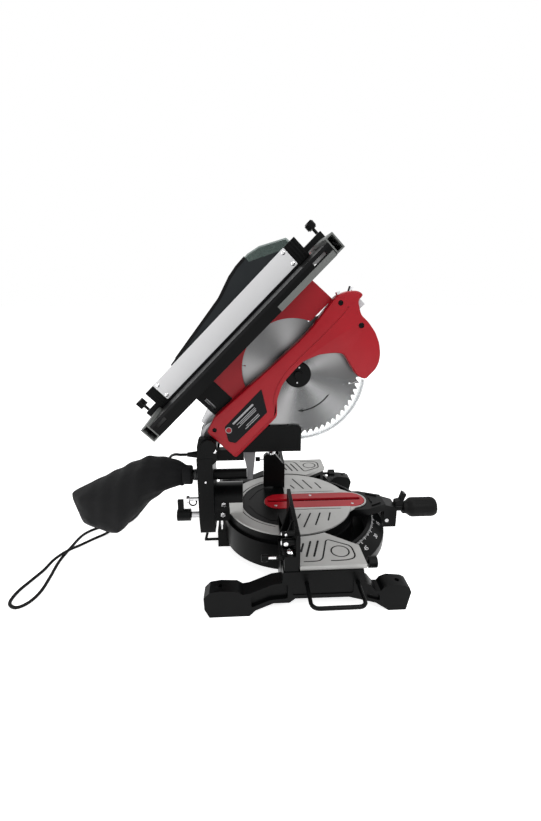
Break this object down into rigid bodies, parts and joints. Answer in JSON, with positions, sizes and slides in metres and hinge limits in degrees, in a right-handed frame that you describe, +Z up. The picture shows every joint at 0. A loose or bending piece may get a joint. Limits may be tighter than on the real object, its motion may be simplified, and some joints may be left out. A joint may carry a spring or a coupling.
{
  "type": "miter saw",
  "caption": "Bench miter saw with a tilting chop head, blade guards, a sliding upper saw table with rip fence, turntable, fences and dust bag.",
  "frame": {"origin": "on the ground at the middle of the saw's footprint, its free cord not counted", "axes": "+X to the operator's right, +Y away from the operator, +Z up"},
  "size_m": [0.58, 0.8477, 0.6541],
  "materials": {
    "black_paint": "satin black paint on cast aluminium",
    "black_plastic": "moulded, fine grain",
    "red_plastic": "glossy red",
    "silver_paint": "bead blasted, clear coat",
    "cast_aluminium": "as cast",
    "steel": "ground",
    "chrome": "plated",
    "grey_plastic": "moulded",
    "clear_guard": "clear, lightly smoked",
    "black_rubber": "soft, ribbed",
    "motor_metal": "copper windings on a steel core",
    "bag_fabric": "woven"
  },
  "bodies": {
    "base": {"base_casting": "black_paint", "left_wing_plate": "silver_paint", "right_wing_plate": "silver_paint", "mitre_scale": "black_paint", "left_fence": "black_paint", "right_fence": "black_paint", "left_fence_bolt": "chrome", "right_fence_bolt": "chrome"},
    "left_rod": {"left_support_rod": "black_paint"},
    "right_rod": {"right_support_rod": "black_paint"},
    "left_lock": {"left_rod_lock": "black_plastic"},
    "right_lock": {"right_rod_lock": "black_plastic"},
    "table": {"turntable": "silver_paint", "kerf_insert": "red_plastic", "centre_bolt": "steel", "power_cord": "black_rubber", "cord_coil": "black_rubber", "plug": "black_rubber"},
    "grip": {"mitre_grip": "black_rubber"},
    "latch": {"index_latch": "black_plastic"},
    "tilt": {"tilt_bracket": "black_paint", "pivot_bolt": "steel", "return_spring": "steel", "blade_channel": "black_plastic", "dust_chute": "grey_plastic", "dust_tube": "black_plastic", "dust_bag": "bag_fabric", "cord_gland": "black_rubber"},
    "bevel_knob": {"bevel_lock_knob": "black_plastic"},
    "detent": {"bevel_detent_pin": "chrome"},
    "lock_pin": {"head_lock_pin": "chrome"},
    "head": {"head_frame": "cast_aluminium", "blade_cover": "red_plastic", "motor_housing": "red_plastic", "motor_end_cap": "black_plastic", "stator": "motor_metal", "front_brush_cap": "black_plastic", "rear_brush_cap": "black_plastic", "handle": "black_plastic", "riving_knife": "steel"},
    "trigger": {"trigger": "black_plastic"},
    "lock_off": {"lock_off_button": "red_plastic"},
    "blade": {"saw_blade": "steel", "near_flange": "black_paint", "arbor_bolt": "steel", "arbor": "steel", "drive_gear": "steel"},
    "rotor": {"armature": "motor_metal"},
    "guard": {"lower_guard": "clear_guard"},
    "saw_table": {"height_guide": "black_paint", "upper_table": "black_paint", "front_guide_rail": "cast_aluminium", "rear_guide_rail": "cast_aluminium", "table_skirt": "red_plastic"},
    "top_guard": {"upper_guard": "clear_guard"},
    "rip": {"rip_fence": "silver_paint", "front_fence_cap": "black_plastic", "rear_fence_cap": "black_plastic"},
    "front_clamp": {"front_fence_knob": "black_plastic"},
    "rear_clamp": {"rear_fence_knob": "black_plastic"}
  },
  "joints": [
    {"name": "left_rod_slide", "type": "slide", "parent": "base", "child": "left_rod", "axis": [-1, 0, 0], "range_m": [0, 0.06]},
    {"name": "right_rod_slide", "type": "slide", "parent": "base", "child": "right_rod", "axis": [1, 0, 0], "range_m": [0, 0.06]},
    {"name": "left_lock_turn", "type": "hinge", "parent": "base", "child": "left_lock", "pos_m": [-0.188, -0.1758, 0.0685], "axis": [0, -1, 0], "range_deg": [0, 180]},
    {"name": "right_lock_turn", "type": "hinge", "parent": "base", "child": "right_lock", "pos_m": [0.188, -0.1758, 0.0685], "axis": [0, -1, 0], "range_deg": [0, 180]},
    {"name": "mitre", "type": "hinge", "parent": "base", "child": "table", "pos_m": [0, -0.0685, 0.093], "axis": [0, 0, 1], "range_deg": [-45, 45]},
    {"name": "grip_turn", "type": "hinge", "parent": "table", "child": "grip", "pos_m": [0, -0.3223, 0.069], "axis": [0, -1, 0], "range_deg": [0, 90]},
    {"name": "latch_lift", "type": "hinge", "parent": "table", "child": "latch", "pos_m": [0, -0.3042, 0.0773], "axis": [1, 0, 0], "range_deg": [-15, 0], "stiffness_Nm_per_rad": 0.08, "springref_deg": 22.92},
    {"name": "bevel", "type": "hinge", "parent": "table", "child": "tilt", "pos_m": [0, 0.0898, 0.093], "axis": [0, 1, 0], "range_deg": [-45, 0]},
    {"name": "bevel_knob_turn", "type": "hinge", "parent": "tilt", "child": "bevel_knob", "pos_m": [-0.03, 0.1218, 0.083], "axis": [0, 1, 0], "range_deg": [0, 180]},
    {"name": "detent_pull", "type": "slide", "parent": "tilt", "child": "detent", "axis": [0, 1, 0], "range_m": [0, 0.006], "stiffness_N_per_m": 400, "springref_m": -0.005},
    {"name": "lock_pin_pull", "type": "slide", "parent": "tilt", "child": "lock_pin", "axis": [1, 0, 0], "range_m": [0, 0.01]},
    {"name": "chop", "type": "hinge", "parent": "tilt", "child": "head", "pos_m": [0, 0.0965, 0.24], "axis": [1, 0, 0], "range_deg": [0, 45], "stiffness_Nm_per_rad": 10, "springref_deg": -80.21},
    {"name": "trigger_pull", "type": "slide", "parent": "head", "child": "trigger", "axis": [0, -0.7071, 0.7071], "range_m": [0, 0.005], "stiffness_N_per_m": 600, "springref_m": -0.004},
    {"name": "lock_off_press", "type": "slide", "parent": "head", "child": "lock_off", "axis": [0, -0.7071, -0.7071], "range_m": [0, 0.003], "stiffness_N_per_m": 600, "springref_m": -0.003},
    {"name": "blade_spin", "type": "hinge", "parent": "head", "child": "blade", "pos_m": [0, -0.0831, 0.37294], "axis": [1, 0, 0], "continuous": true},
    {"name": "motor_spin", "type": "hinge", "parent": "head", "child": "rotor", "pos_m": [0, -0.03886, 0.37371], "axis": [1, 0, 0], "continuous": true},
    {"name": "guard_swing", "type": "hinge", "parent": "head", "child": "guard", "pos_m": [0, -0.0831, 0.37294], "axis": [1, 0, 0], "range_deg": [-95, 0]},
    {"name": "table_height", "type": "slide", "parent": "head", "child": "saw_table", "axis": [0, 0.7071, 0.7071], "range_m": [-0.04, 0]},
    {"name": "top_guard_swing", "type": "hinge", "parent": "head", "child": "top_guard", "pos_m": [0, 0.1566, 0.38566], "axis": [1, 0, 0], "range_deg": [-35, 0]},
    {"name": "rip_slide", "type": "slide", "parent": "saw_table", "child": "rip", "axis": [1, 0, 0], "range_m": [-0.09, 0]},
    {"name": "front_clamp_turn", "type": "hinge", "parent": "rip", "child": "front_clamp", "pos_m": [-0.034, -0.10835, 0.63096], "axis": [0, 0.7071, 0.7071], "range_deg": [0, 180]},
    {"name": "rear_clamp_turn", "type": "hinge", "parent": "rip", "child": "rear_clamp", "pos_m": [-0.034, 0.20815, 0.31446], "axis": [0, 0.7071, 0.7071], "range_deg": [0, 180]}
  ],
  "couplings": [
    {"joint": "motor_spin", "follows": "blade_spin", "ratio": -2.9333},
    {"joint": "guard_swing", "follows": "chop", "ratio": -2.1111}
  ]
}
